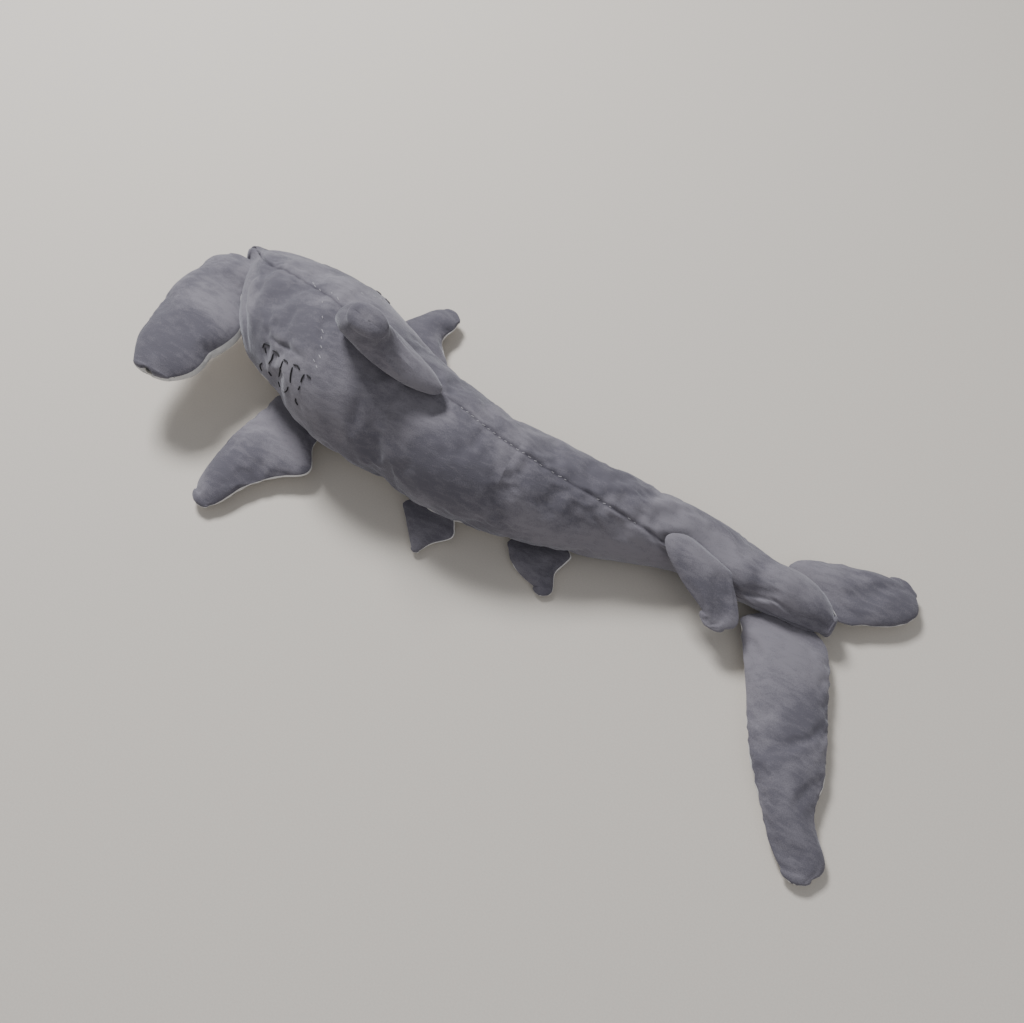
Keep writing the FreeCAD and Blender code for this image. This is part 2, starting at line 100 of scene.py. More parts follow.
EDGE_TURN = (-0.235, -0.17)   # between these places along the body the head's edge becomes the belly's
STALK_TURN = (0.08, 0.15)     # and between these the belly's becomes the stalk's

# Folds of the skin: places along the body with their angles from the back seam,
# how far the skin rises (or sinks) along them and how wide they are.
FOLDS = (
    (((-0.247, -3), (-0.231, 14), (-0.227, 34), (-0.221, 48), (-0.211, 54), (-0.203, 64)),
     1.9 * MM, 4.5 * MM),
    (((-0.243, 12), (-0.238, 30), (-0.235, 47), (-0.226, 58), (-0.217, 66), (-0.208, 86)),
     -2.0 * MM, 3.2 * MM),
    (((-0.184, 57), (-0.173, 56), (-0.163, 53), (-0.145, 49)), -1.3 * MM, 1.3 * MM),
    (((-0.188, 51), (-0.173, 50), (-0.159, 47), (-0.142, 43)), 0.9 * MM, 3.0 * MM),
    (((-0.183, -6), (-0.166, -2), (-0.157, 8), (-0.145, 20), (-0.137, 31), (-0.132, 47)),
     -0.7 * MM, 2.2 * MM),
    (((0.046, 31), (0.052, 38), (0.057, 46)), -1.0 * MM, 4.0 * MM),
    (((0.187, -97), (0.190, -70), (0.192, -46), (0.194, -24)), -1.6 * MM, 4.5 * MM),
    (((0.203, -100), (0.207, -75), (0.210, -50)), 1.6 * MM, 7.0 * MM),
    (((0.174, -12), (0.184, -18), (0.196, -26), (0.206, -35), (0.216, -30), (0.228, -33), (0.240, -45)),
     -1.4 * MM, 1.4 * MM),
)

# Gill lines on the left side: where each starts, and the dashes of thread from there,
# in millimetres along the body and degrees down the flank. The right side has the same.
GILLS = (
    ((-188, 66), ((-1, 4, 0, -1, 5, -2), (1, 2, 3, 6), (1, 17, -2, 22, -1, 28))),
    ((-176, 64), ((-1, 0, 3, -1, 7, 0), (0, 2, 0, 8, -2, 13), (-2, 20, -1, 25))),
    ((-162, 62), ((0, 0, 3, -1, 6, -1), (0, 1, 0, 6, -3, 13, -6, 21), (-6, 26, -3, 29))),
    ((-149, 57), ((-1, 1, 3, -1, 6, 0), (-1, 3, -1, 9, 0, 15), (-2, 20, -3, 24, -7, 30))),
    ((-137, 56), ((1, 0, 5, 0), (-1, 1, -2, 5, -2, 8), (-2, 11, -3, 15), (-5, 24, -5, 27, -3, 29))),
)
# Short pale stitches that hold the neck's seam: place, angle and length.
NECK_STITCHES = (
    (-180, -4, 3), (-176, -2, 2), (-170, -1, 2.5), (-159, -4, 2), (-151, -3, 2.5), (-158, 8, 1.5),
    (-149, 17, 1.5), (-143, 24, 3), (-140, 28, 1.5), (-136, 33, 2), (-134, 39, 3), (-132, 46, 2),
    (-136, 44, 2),
)
# The body's skins in three lengths, the bend that each one crosses and the bodies on its two sides.
LENGTHS = {"neck": "neck_bend", "waist": "waist_bend", "stalk": "tail_bend"}
SEAM_ROWS = {"rear": (-32, 63), "tail": (70, 104)}  # first and last place of the rows of stitches
STITCH_PITCH = 4.6
THREAD = 0.55 * MM            # radius of the embroidery thread
SEWING = 0.25 * MM             # radius of the sewing thread
THREAD_SIDES = 8

# Body skins: the CAD nodes that each one stands for.
STANDS_FOR = {
    "neck_back_left_skin": ("head_top_panel", "front_back_panel_left", "head_stuffing"),
    "neck_back_right_skin": ("front_back_panel_right", "front_stuffing"),
    "neck_belly_skin": ("head_under_panel", "front_belly_panel"),
    "waist_back_left_skin": ("rear_back_panel_left", "rear_stuffing"),
    "waist_back_right_skin": ("rear_back_panel_right",),
    "waist_belly_skin": ("rear_belly_panel",),
    "stalk_back_left_skin": ("tail_back_panel_left", "tail_stuffing"),
    "stalk_back_right_skin": ("tail_back_panel_right",),
    "stalk_belly_skin": ("tail_belly_panel",),
}
PANELS = {
    "head": ("head_top_panel", "head_under_panel"),
    "front": ("front_back_panel_left", "front_back_panel_right", "front_belly_panel"),
    "rear": ("rear_back_panel_left", "rear_back_panel_right", "rear_belly_panel"),
    "tail": ("tail_back_panel_left", "tail_back_panel_right", "tail_belly_panel"),
}

# Pockets: joint, chord and span directions, roundness of the faces (lens), how far the root is
# tucked into the body (tuck, mm) and drawn back there (gather, mm), how many columns of the white
# underside show past the rear edge (peek), how tight the filling is (fill), how far the rear edge
# reaches back at the root and over what span it does (web, mm), how much wider the tip is (flare,
# mm), where the tip leans (lean, mm), how the tucked root sinks into the body (sink, mm), how far
# the round tip reaches (round) and the eye on it.
POCKETS = {
    "hammer_left": dict(joint="hammer_left_lift",
                        chord=(1, 0, -0.03), span=(0, -1, 0), faces=("top", "under"),
                        lens=1.0, tuck=4, peek=3, fill=0.6, web=(27, 88), gather=-2,
                        round=4 * MM, eye="eye_left"),
    "hammer_right": dict(joint="hammer_right_lift",
                         chord=(0, 0.66, -0.75), span=(1, 0, 0), faces=("top", "under"),
                         lens=1.0, tuck=10, peek=2, fill=0.6, round=4 * MM, eye="eye_right"),
    "pectoral_left": dict(joint="pectoral_left_flop",
                          chord=(0.93, -0.37, 0), span=(-0.37, -0.92, -0.1), faces=("top", "under"),
                          lens=1.15, tuck=12, peek=2, fill=0.4),
    "pectoral_right": dict(joint="pectoral_right_flop",
                           chord=(0.95, -0.33, 0), span=(0.32, 0.94, -0.1), faces=("top", "under"),
                           lens=1.15, tuck=12, peek=2, fill=0.4),
    "pelvic_left": dict(joint="pelvic_left_flop",
                        chord=(1, 0, 0), span=(0, -0.97, -0.25), faces=("top", "under"),
                        lens=1.2, tuck=10, peek=3, fill=0.1),
    "pelvic_right": dict(joint="pelvic_right_flop",
                         chord=(1, -0.05, 0), span=(0.05, 0.96, -0.27), faces=("top", "under"),
                         lens=1.2, tuck=10, peek=3, fill=0.1),
    "first_dorsal": dict(joint="first_dorsal_flop",
                         chord=(0.98, -0.13, -0.18), span=(0.12, -0.36, 0.92),
                         faces=("right_face", "left_face"), lens=0.95, tuck=8, peek=0, fill=0.5,
                         lean=(12, -3, -7), flare=9),
    "second_dorsal": dict(joint="second_dorsal_flop",
                          chord=(0.96, -0.18, -0.2), span=(-0.25, -0.89, -0.39),
                          faces=("right_face", "left_face"), lens=1.1, tuck=1.5, peek=0, fill=0.1,
                          lean=(4, -2, -2), sink=(0, 7, -11)),
    "anal_fin": dict(joint="anal_flop",
                     chord=(0.97, 0.25, 0), span=(0.25, -0.96, -0.1), faces=("top", "under"),
                     lens=1.2, tuck=10, peek=3, fill=0.1),
    "caudal_upper": dict(joint="caudal_upper_flop",
                         chord=(0.99, 0.14, -0.02), span=(0.14, -0.99, -0.04), faces=("top", "under"),
                         lens=1.0, tuck=10, peek=0, fill=0.5),
    "caudal_lower": dict(joint="caudal_lower_flop",
                         chord=(0.96, -0.28, -0.02), span=(0.28, 0.96, -0.07), faces=("top", "under"),
                         lens=1.0, tuck=10, peek=0, fill=0.5),
}


# ---------------------------------------------------------------- reading the frame

def node_wires(names, axes):
    """Points of the nodes in the coordinates along three axes, and the edges between them."""
    points, edges, base = [], [], 0
    for name in names:
        mesh = NODES[name].data
        place = np.empty(len(mesh.vertices) * 3)
        mesh.vertices.foreach_get("co", place)
        ends = np.empty(len(mesh.edges) * 2, dtype=np.int64)
        mesh.edges.foreach_get("vertices", ends)
        points.append(place.reshape(-1, 3))
        edges.append(ends.reshape(-1, 2) + base)
        base += len(mesh.vertices)
    return np.concatenate(points) @ np.array(axes, float).T, np.concatenate(edges)


def crossing(wires, height):
    """Where the edges pass the plane at that height of the third coordinate."""
    points, edges = wires
    low, high = points[edges[:, 0]], points[edges[:, 1]]
    over = (low[:, 2] - height) * (high[:, 2] - height) < 0
    low, high = low[over], high[over]
    share = (height - low[:, 2]) / (high[:, 2] - low[:, 2])
    return low[:, :2] + share[:, None] * (high[:, :2] - low[:, :2])


def eased(values, rounds=2):
    """Values evened out along their row, the two ends kept."""
    values = np.array(values, float)
    for _ in range(rounds):
        values[1:-1] = 0.25 * values[:-2] + 0.5 * values[1:-1] + 0.25 * values[2:]
    return values


def ring_of(points):
    """Middle and half sizes of a closed section, or None where the skin is open."""
    if len(points) < 12:
        return None
    low, high = points.min(0), points.max(0)
    middle = (low + high) / 2
    angles = np.sort(np.arctan2(points[:, 0] - middle[0], points[:, 1] - middle[1]))
    gaps = np.diff(np.concatenate([angles, angles[:1] + 2 * math.pi]))
    if gaps.max() > math.radians(OPEN_GAP):
        return None
    return [*middle, *((high - low) / 2)]


def seam_turn(points, middle):
    """Angle from straight up, towards the left, at which the left back panel starts."""
    angles = np.sort(np.arctan2(middle[0] - points[:, 0], points[:, 1] - middle[1]))
    gaps = np.diff(np.concatenate([angles, angles[:1] + 2 * math.pi]))
    return math.degrees(angles[(gaps.argmax() + 1) % len(angles)])


def body_sections():
    """Rows of x, y, z, half width, half height and seam turn, evenly spaced along the body."""
    axes = ((0, 1, 0), (0, 0, 1), (1, 0, 0))
    skin = node_wires([n for names in PANELS.values() for n in names], axes)
    left = node_wires([names[0] for part, names in PANELS.items() if part != "head"], axes)
    first, last = skin[0][:, 2].min(), skin[0][:, 2].max()
    count = round((last - first) / RING_STEP)
    rows, turns = [], []
    for x in np.linspace(first, last, count + 1)[1:-1]:
        ring = ring_of(crossing(skin, x))
        if ring is None:
            continue
        rows.append([x, *ring])
        panel = crossing(left, x)
        if len(panel) > 8:
            turns.append([x, seam_turn(panel, ring)])
    rows, turns = np.array(rows), np.array(turns)
    turns[:, 1] = np.degrees(np.unwrap(np.radians(turns[:, 1])))
    even = np.linspace(rows[0, 0], rows[-1, 0], count)
    columns = [eased(np.interp(even, rows[:, 0], rows[:, k])) for k in range(1, 5)]
    columns.append(eased(np.interp(even, turns[:, 0], turns[:, 1]), 6))
    return np.stack([even, *columns], axis=1)


# ---------------------------------------------------------------- grids

def round_cap(row, reach, last_size):
    """Extra rows that close an end: the end's row, its share of width and height, and how far out."""
    caps = []
    for share in CAP_SHARES:
        size = math.sqrt(1 - share * share)
        caps.append((row, size, size ** 0.7, share * reach))
    caps.append((row, last_size, 0.0, reach))
    return caps


def belly_edge(x):
    """Angle from the back seam at which the white belly starts, at that place along the body."""
    edge = HEAD_EDGE
    for (start, end), reached in ((EDGE_TURN, BELLY_EDGE), (STALK_TURN, STALK_EDGE)):
        share = np.clip((x - start) / (end - start), 0, 1)
        edge += (reached - edge) * share * share * (3 - 2 * share)
    return edge


def panel_angles(x):
    """Angles of the ring at x, with the same number of sides on each panel all along the body."""
    column = 360 * np.arange(BODY_SIDES) / BODY_SIDES
    column = (column + 180) % 360 - 180
    edge = belly_edge(x)
    on_belly = 180 - (180 - np.abs(column)) * (180 - edge) / (180 - BELLY_EDGE)
    turned = np.where(np.abs(column) <= BELLY_EDGE, np.abs(column) * edge / BELLY_EDGE, on_belly)
    return np.radians(np.sign(column) * turned)


def body_grid(rows):
    """Rings of the body, angles counted from the back seam towards the left."""
    rings = round_cap(rows[0], -NOSE_CAP, 0.02)[::-1]
    rings += [(row, 1.0, 1.0, 0.0) for row in rows]
    rings += round_cap(rows[-1], STALK_CAP, 0.02)
    grid = []
    for (x, y, z, half_width, half_height, turn), wide, high, out in rings:
        angle = panel_angles(x) + math.radians(turn)
        ring = np.stack([np.full(BODY_SIDES, x + out),
                         y - wide * half_width * np.sin(angle),
                         z + max(high, 0.02) * half_height * np.cos(angle)], axis=1)
        grid.append(ring)
    return np.array(grid)


def pocket_axes(chord, span):
    """Rows of the chord, thickness and span directions."""
    chord = Vector(chord).normalized()
    span = Vector(span)
    thick = span.cross(chord).normalized()
    return np.array([chord, thick, chord.cross(thick)])


def pocket_grid(name, facts):
    """Rings of a pocket from its tucked root to its rounded tip, from the rear edge over the top."""
    axes = pocket_axes(facts["chord"], facts["span"])
    nodes = [f"{name}_{face}" for face in facts["faces"]]
    wires = node_wires(nodes, axes)
    low, high = wires[0][:, 2].min(), wires[0][:, 2].max()
    count = max(6, round((high - low) / POCKET_STEP))
    rows = []
    for span in np.linspace(low, high, count + 1):
        span = min(max(span, low + 0.2 * MM), high - 0.2 * MM)
        points = crossing(wires, span)
        rows.append([span, *((points.min(0) + points.max(0)) / 2), *((points.max(0) - points.min(0)) / 2)])
    rows = np.array(rows)
    for column in (1, 2, 3, 4):
        rows[:, column] = eased(rows[:, column])
    reach, length = facts.get("web", (0, 1))
    web = reach * MM * np.clip(1 - (rows[:, 0] - low) / (length * MM), 0, 1) ** 0.8
    rows[:, 1] += web / 2
    rows[:, 3] += web / 2
    flare = facts.get("flare", 0) * MM * ((rows[:, 0] - low) / (high - low)) ** 2
    rows[:, 1] += flare / 2
    rows[:, 3] += flare / 2
    tucked = rows[:1].repeat(2, axis=0)
    tucked[:, 1] += facts.get("gather", 0) * MM
    tucked[:, 0] -= np.array([1, 0.5]) * facts["tuck"] * MM
    tucked[:, 3:] *= np.array([[0.55], [0.85]])
    tip = rows[-1]
    rings = [(row, 1.0, 1.0, 0.0) for row in [*tucked, *rows]]
    rings += round_cap(tip, min(0.75 * tip[3], facts.get("round", TIP_ROUND)), 0.15)
    around = 2 * math.pi * np.arange(POCKET_SIDES) / POCKET_SIDES
    grid = []
    for number, ((span, chord, thick, half_chord, half_thick), wide, high, out) in enumerate(rings):
        rise = np.sign(np.sin(around)) * np.abs(np.sin(around)) ** facts["lens"]
        ring = np.stack([chord + wide * half_chord * np.cos(around),
                         thick + high * half_thick * rise,
                         np.full(POCKET_SIDES, span + out)], axis=1)
        share = min(max((span - rows[0, 0]) / (tip[0] - rows[0, 0]), 0), 1)
        moved = share ** 1.4 * np.array(facts.get("lean", (0, 0, 0)))
        moved += max(0, 1 - number / 2) * np.array(facts.get("sink", (0, 0, 0)))
        grid.append(ring @ axes + MM * moved)
    return np.array(grid)


def finer(grid, axis, wraps):
    """The grid with one more line between each two, on a smooth curve through them."""
    grid = np.moveaxis(grid, axis, 0)
    if wraps:
        before, after, beyond = np.roll(grid, 1, 0), np.roll(grid, -1, 0), np.roll(grid, -2, 0)
        between = (9 * (grid + after) - before - beyond) / 16
        made = np.stack([grid, between], axis=1).reshape(-1, *grid.shape[1:])
    else:
        ends = np.concatenate([2 * grid[:1] - grid[1:2], grid, 2 * grid[-1:] - grid[-2:-1]])
        between = (9 * (ends[1:-2] + ends[2:-1]) - ends[:-3] - ends[3:]) / 16
        made = np.empty((2 * len(grid) - 1, *grid.shape[1:]))
        made[0::2], made[1::2] = grid, between
    return np.moveaxis(made, 0, axis)


def grid_normals(grid):
    """Outward normals of a grid of rings."""
    along = np.gradient(grid, axis=0)
    around = np.roll(grid, -1, axis=1) - np.roll(grid, 1, axis=1)
    normal = np.cross(around, along)
    normal /= np.maximum(np.linalg.norm(normal, axis=2, keepdims=True), 1e-12)
    out = grid - grid.mean(axis=1, keepdims=True)
    if (normal * out).sum() < 0:
        normal = -normal
    return normal


# ---------------------------------------------------------------- cloth

def ring_faces(rows, sides):
    """Faces between the neighbouring rings of a grid."""
    faces = []
    for i in range(rows - 1):
        for j in range(sides):
            k = (j + 1) % sides
            faces.append((i * sides + j, i * sides + k, (i + 1) * sides + k, (i + 1) * sides + j))
    return faces


def cloth_object(name, grid, pins):
    """A closed cloth skin of the grid, ready to be blown up; pins holds a weight for each point."""
    rows, sides = grid.shape[:2]
    points = [*grid.reshape(-1, 3), grid[0].mean(0), grid[-1].mean(0)]
    faces = ring_faces(rows, sides)
    first, last = rows * sides, rows * sides + 1
    for j in range(sides):
        k = (j + 1) % sides
        faces.append((first, k, j))
        faces.append((last, (rows - 1) * sides + j, (rows - 1) * sides + k))
    mesh = bpy.data.meshes.new(name)
    mesh.from_pydata([tuple(p) for p in points], [], faces)
    skin = bpy.data.objects.new(name, mesh)
    bpy.context.scene.collection.objects.link(skin)
    group = skin.vertex_groups.new(name="pinned")
    flat = pins.reshape(-1)
    for weight in np.unique(flat):
        if weight > 0:
            group.add([int(i) for i in np.nonzero(flat == weight)[0]], float(weight), "REPLACE")
    group.add([first, last], 1.0, "REPLACE")
    cloth = skin.modifiers.new("cloth", "CLOTH")
    settings = cloth.settings
    settings.quality = CLOTH_QUALITY
    settings.mass = CLOTH_MASS
    for kind, value in CLOTH_STIFFNESS.items():
        setattr(settings, f"{kind}_stiffness", value)
    settings.use_pressure = True
    settings.uniform_pressure_force = CLOTH_PRESSURE
    settings.shrink_min = -CLOTH_SHRINK
    settings.shrink_max = -CLOTH_SHRINK
    settings.vertex_group_mass = group.name
    settings.pin_stiffness = 1.0
    settings.effector_weights.gravity = 0
    return skin


def blown_up(grids, pins, swells):
    """Each grid after its cloth has settled under pressure, moved no further than its swell."""
    skins = {name: cloth_object(f"cloth_{name}", grid, pins[name]) for name, grid in grids.items()}
    for number in range(1, CLOTH_FRAMES + 1):
        bpy.context.scene.frame_set(number)
    graph = bpy.context.evaluated_depsgraph_get()
    made = {}
    for name, skin in skins.items():
        settled = skin.evaluated_get(graph).to_mesh()
        place = np.empty(len(settled.vertices) * 3)
        settled.vertices.foreach_get("co", place)
        grid = grids[name]
        place = place.reshape(-1, 3)[:grid.shape[0] * grid.shape[1]].reshape(grid.shape)
        move = place - grid
        length = np.maximum(np.linalg.norm(move, axis=2, keepdims=True), 1e-9)
        made[name] = grid + move / length * swells[name] * np.tanh(length / swells[name])
        skin.evaluated_get(graph).to_mesh_clear()
    bpy.context.scene.frame_set(1)
    for skin in skins.values():
        bpy.data.objects.remove(skin)
    return made


# ---------------------------------------------------------------- skins as meshes

def lumps(points, size, seed):
    """Smooth noise from -1 to 1 at each point, with lumps of that size."""
    flat = points.reshape(-1, 3) / size + seed
    return np.array([noise.noise(Vector(p)) for p in flat]).reshape(points.shape[:-1])


def shell(name, outer, inner, rest, seams, material):
    """A sewn panel as a closed sheet of cloth: outside, inside and the cut edge all round."""
    rows, sides = outer.shape[:2]
    count = rows * sides
    index = np.arange(count).reshape(rows, sides)
    faces = np.stack([index[:-1, :-1], index[:-1, 1:], index[1:, 1:], index[1:, :-1]], axis=-1).reshape(-1, 4)
    border = np.concatenate([index[0, :-1], index[:-1, -1], index[-1, :0:-1], index[:0:-1, 0]])
    after = np.roll(border, -1)
    rim = np.stack([border + count, after + count, after, border], axis=-1)
    points = np.concatenate([outer.reshape(-1, 3), inner.reshape(-1, 3)])
    polygons = np.concatenate([faces, faces[:, ::-1] + count, rim])
    mesh = bpy.data.meshes.new(name)
    mesh.from_pydata(points.tolist(), [], polygons.tolist())
    mesh.polygons.foreach_set("use_smooth", np.ones(len(mesh.polygons), bool))
    ends = np.empty(len(mesh.edges) * 2, dtype=np.int64)
    mesh.edges.foreach_get("vertices", ends)
    border_pairs = {tuple(sorted(p)) for p in zip(border.tolist(), after.tolist())}
    border_pairs |= {(a + count, b + count) for a, b in border_pairs}
    sharp = mesh.attributes.new("sharp_edge", "BOOLEAN", "EDGE")
    sharp.data.foreach_set("value", [tuple(sorted(p)) in border_pairs for p in ends.reshape(-1, 2).tolist()])
    rest_place = mesh.attributes.new("rest_place", "FLOAT_VECTOR", "POINT")
    both_sides = np.concatenate([rest.reshape(-1, 3)] * 2).astype(np.float32)
    rest_place.data.foreach_set("vector", both_sides.ravel())
    # seams holds painted shade: how far the plush's colour is darkened along a seam
    seam = mesh.attributes.new("seam", "FLOAT", "POINT")
    seam.data.foreach_set("value", np.concatenate([seams.ravel()] * 2).astype(np.float32))
    mesh.materials.append(material)
    panel = bpy.data.objects.new(name, mesh)
    bpy.context.scene.collection.objects.link(panel)
    return panel


def inside_of(outer, middle, thick):
    """The inner side of a skin: the outer one moved towards its middle by the cloth's thickness."""
    way = middle - outer
    length = np.maximum(np.linalg.norm(way, axis=-1, keepdims=True), 1e-9)
    return outer + way * np.minimum(thick / length, 0.5)


# ---------------------------------------------------------------- materials

def node_tree(name):
    """A new material with its principled shader, and its nodes and links."""
    material = bpy.data.materials.new(name)
    material.use_nodes = True
    nodes = material.node_tree.nodes
    nodes.clear()
    output = nodes.new("ShaderNodeOutputMaterial")
    shader = nodes.new("ShaderNodeBsdfPrincipled")
    material.node_tree.links.new(shader.outputs["BSDF"], output.inputs["Surface"])
    return material, nodes, material.node_tree.links, shader


def noise_node(nodes, links, source, scale, detail, distortion=0.0):
    made = nodes.new("ShaderNodeTexNoise")
    made.inputs["Scale"].default_value = scale
    made.inputs["Detail"].default_value = detail
    made.inputs["Distortion"].default_value = distortion
    links.new(source, made.inputs["Vector"])
    return made.outputs["Fac"]


def ranged(nodes, links, source, low, high, to_low, to_high):
    """The source carried smoothly from one range to another."""
    made = nodes.new("ShaderNodeMapRange")
    made.interpolation_type = "SMOOTHSTEP"
    for socket, value in (("From Min", low), ("From Max", high), ("To Min", to_low), ("To Max", to_high)):
        made.inputs[socket].default_value = value
    links.new(source, made.inputs["Value"])
    return made.outputs["Result"]


def arithmetic(nodes, links, operation, first, second):
    made = nodes.new("ShaderNodeMath")
    made.operation = operation
    for socket, value in zip(made.inputs, (first, second)):
        if isinstance(value, (int, float)):
            socket.default_value = value
        else:
            links.new(value, socket)
    return made.outputs[0]


def plush(name, laid, ruffled, sheen):
    """Short-pile plush: laid and ruffled nap in soft patches, streaks along it, a fine grain, and painted
    shade darkening the colour along the seams.
    """
    material, nodes, links, shader = node_tree(name)
    rest = nodes.new("ShaderNodeAttribute")
    rest.attribute_name = "rest_place"
    place = rest.outputs["Vector"]
    stretch = nodes.new("ShaderNodeMapping")
    stretch.inputs["Scale"].default_value = (0.35, 1, 1)
    links.new(place, stretch.inputs["Vector"])
    patches = noise_node(nodes, links, place, 15, 2, 0.6)
    streaks = noise_node(nodes, links, stretch.outputs["Vector"], 260, 3, 0.4)
    grain = noise_node(nodes, links, place, 1500, 2)
    ruffle = ranged(nodes, links, patches, 0.38, 0.68, 0, 1)
    streaked = ranged(nodes, links, streaks, 0.3, 0.7, -0.22, 0.22)
    grained = ranged(nodes, links, grain, 0.3, 0.7, -0.2, 0.2)
    share = arithmetic(nodes, links, "ADD", arithmetic(nodes, links, "ADD", ruffle, streaked), grained)
    mix = nodes.new("ShaderNodeMix")
    mix.data_type = "RGBA"
    mix.inputs["A"].default_value = (*laid, 1)
    mix.inputs["B"].default_value = (*ruffled, 1)
    links.new(share, mix.inputs["Factor"])
    # Painted shade along the seams: the seam attribute multiplies the colour down towards 0.62.
    seam = nodes.new("ShaderNodeAttribute")
    seam.attribute_name = "seam"
    shade = nodes.new("ShaderNodeMix")
    shade.data_type = "RGBA"
    shade.blend_type = "MULTIPLY"
    shade.inputs["B"].default_value = (0.62, 0.61, 0.63, 1)
    links.new(seam.outputs["Fac"], shade.inputs["Factor"])
    links.new(mix.outputs["Result"], shade.inputs["A"])
    links.new(shade.outputs["Result"], shader.inputs["Base Color"])
    bump = nodes.new("ShaderNodeBump")
    bump.inputs["Strength"].default_value = 0.55
    bump.inputs["Distance"].default_value = 0.5 * MM
    height = arithmetic(nodes, links, "ADD", grain, arithmetic(nodes, links, "MULTIPLY", streaks, 0.8))
    links.new(height, bump.inputs["Height"])
    links.new(bump.outputs["Normal"], shader.inputs["Normal"])
    shader.inputs["Roughness"].default_value = 0.95
    shader.inputs["Specular IOR Level"].default_value = 0.15
    shader.inputs["Sheen Weight"].default_value = sheen
    shader.inputs["Sheen Roughness"].default_value = 0.4
    shader.inputs["Sheen Tint"].default_value = (0.8, 0.82, 0.9, 1)
    return material


def plain(name, colour, roughness, coat=0.0):
    """Thread, moulded plastic and the floor: one colour with a faint mottle."""
    material, nodes, links, shader = node_tree(name)
    place = nodes.new("ShaderNodeTexCoord").outputs["Object"]
    mottle = noise_node(nodes, links, place, 900, 2)
    mix = nodes.new("ShaderNodeMix")
    mix.data_type = "RGBA"
    mix.inputs["A"].default_value = (*[0.85 * c for c in colour], 1)
    mix.inputs["B"].default_value = (*colour, 1)
    links.new(mottle, mix.inputs["Factor"])
    links.new(mix.outputs["Result"], shader.inputs["Base Color"])
    shader.inputs["Roughness"].default_value = roughness
    shader.inputs["Coat Weight"].default_value = coat
    return material


GREY = plush("grey_plush", (0.105, 0.1, 0.122), (0.2, 0.19, 0.218), 0.4)
WHITE = plush("white_plush", (0.62, 0.61, 0.60), (0.78, 0.77, 0.76), 0.3)
DARK_THREAD = plain("dark_thread", (0.012, 0.012, 0.016), 0.8)
PALE_THREAD = plain("pale_thread", (0.42, 0.41, 0.44), 0.8)
EYE = plain("eye_plastic", (0.006, 0.006, 0.008), 0.12, 1.0)
WASHER = plain("washer_plastic", (0.7, 0.7, 0.68), 0.5)


# ---------------------------------------------------------------- the body

SECTIONS = body_sections()
BODY = body_grid(SECTIONS)
POCKET_GRIDS = {name: pocket_grid(name, facts) for name, facts in POCKETS.items()}


def body_pins():
    """How firmly each point of the body is held while it is blown up: its seams and its ends."""
    pins = np.zeros(BODY.shape[:2])
    seam = round(BELLY_EDGE / 360 * BODY_SIDES)
    pins[:, [0, seam, -seam]] = SEAM_HOLD
    pins[:2] = 1
    pins[-2:] = 1
    return pins


def pocket_pins(grid):
    """The same for a pocket: its root and the seam round its edge."""
    pins = np.zeros(grid.shape[:2])
    pins[:4] = 1
    pins[:, [0, POCKET_SIDES // 2]] = RIM_HOLD
    return pins


all_grids = {"body": BODY, **POCKET_GRIDS}
all_pins = {"body": body_pins(), **{name: pocket_pins(grid) for name, grid in POCKET_GRIDS.items()}}
all_swells = {"body": BODY_SWELL, **{name: POCKET_SWELL for name in POCKETS}}
SETTLED = blown_up(all_grids, all_pins, all_swells)
SECTION_PLACES = finer(SETTLED["body"], 0, False).mean(1)[:, 0]


def settle_on_floor(points):
    """Cloth that would go through the floor lies on it instead."""
    over = (points[..., 2] - FLOOR_REST) / FLOOR_SOFT
    lifted = np.where(over < 1, np.exp(np.minimum(over - 1, 0)), over)
    sunk = math.exp(-1) * (over < 1) * np.clip(1 - over, 0, 1)
    points[..., 2] = FLOOR_REST + FLOOR_SOFT * (lifted - sunk)
    return points


def bend_with(piece):
    """The piece's placement baked into its points."""
    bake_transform(piece)


def skin_value(values, x, angle):
    """A value of the fine body grid at a place along the body and an angle from the back seam."""
    rows, sides = values.shape[:2]
    row = np.interp(x, SECTION_PLACES, np.arange(rows))
    edge = belly_edge(x)
    column = angle * BELLY_EDGE / edge
    if abs(angle) > edge:
        column = math.copysign(180 - (180 - abs(angle)) * (180 - BELLY_EDGE) / (180 - edge), angle)
    column = column / 360 * sides
    i, j = min(int(row), rows - 2), math.floor(column)
    up, across = row - i, column - j
    near = values[i, j % sides] * (1 - across) + values[i, (j + 1) % sides] * across
    far = values[i + 1, j % sides] * (1 - across) + values[i + 1, (j + 1) % sides] * across
    return near * (1 - up) + far * up


def route_on(grid, route):
    """Close points along a route of places and angles on the skin."""
    places, angles = np.array(route, float).T
    share = np.linspace(0, 1, 60)
    steps = np.linspace(0, 1, len(places))
    return np.array([skin_value(grid, x, a) for x, a in zip(np.interp(share, steps, places),
                                                            np.interp(share, steps, angles))])


def folded(grid, route, rise, wide):
    """How far a fold lifts each point of the skin; it fades out at both its ends."""
    line = route_on(grid, route)
    fade = np.sin(np.linspace(0, math.pi, len(line))) ** 0.35
    best = np.zeros(grid.shape[:2])
    for point, strength in zip(line, fade):
        away = np.linalg.norm(grid - point, axis=2)
        best = np.maximum(best, strength * np.exp(-(away / wide) ** 2))
    return rise * best


